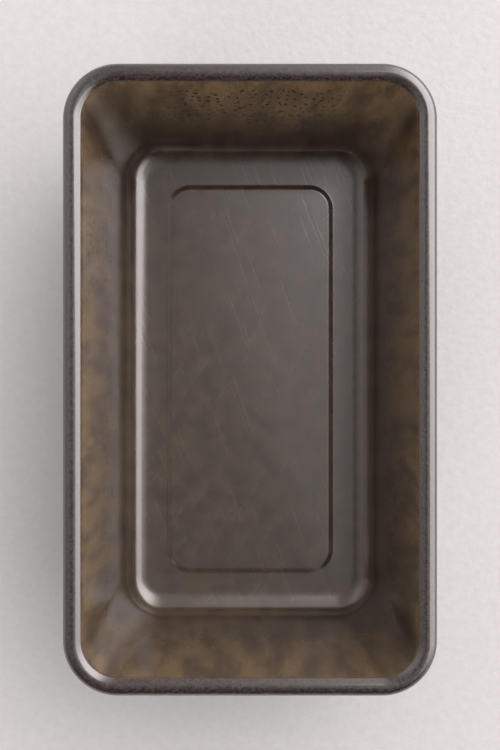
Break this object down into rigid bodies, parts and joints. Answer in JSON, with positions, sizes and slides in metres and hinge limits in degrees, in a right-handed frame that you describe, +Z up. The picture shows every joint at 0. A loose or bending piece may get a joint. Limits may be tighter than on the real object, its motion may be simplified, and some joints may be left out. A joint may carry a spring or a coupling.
{
  "type": "loaf pan",
  "caption": "Deep rectangular loaf pan of dark coated sheet steel, with tapered walls, round corners and a rim rolled over a wire.",
  "frame": {"origin": "centre of the base, on the plane that the pan stands on", "axes": "+Z up out of the pan's mouth, +Y along the pan, +X across it"},
  "size_m": [0.145, 0.2448, 0.07],
  "materials": {
    "nonstick_coating": "satin dark grey non-stick coating",
    "galvanised_wire": "dull galvanised"
  },
  "bodies": {
    "root": {"pan_body": "nonstick_coating", "rim_wire": "galvanised_wire"}
  },
  "joints": []
}
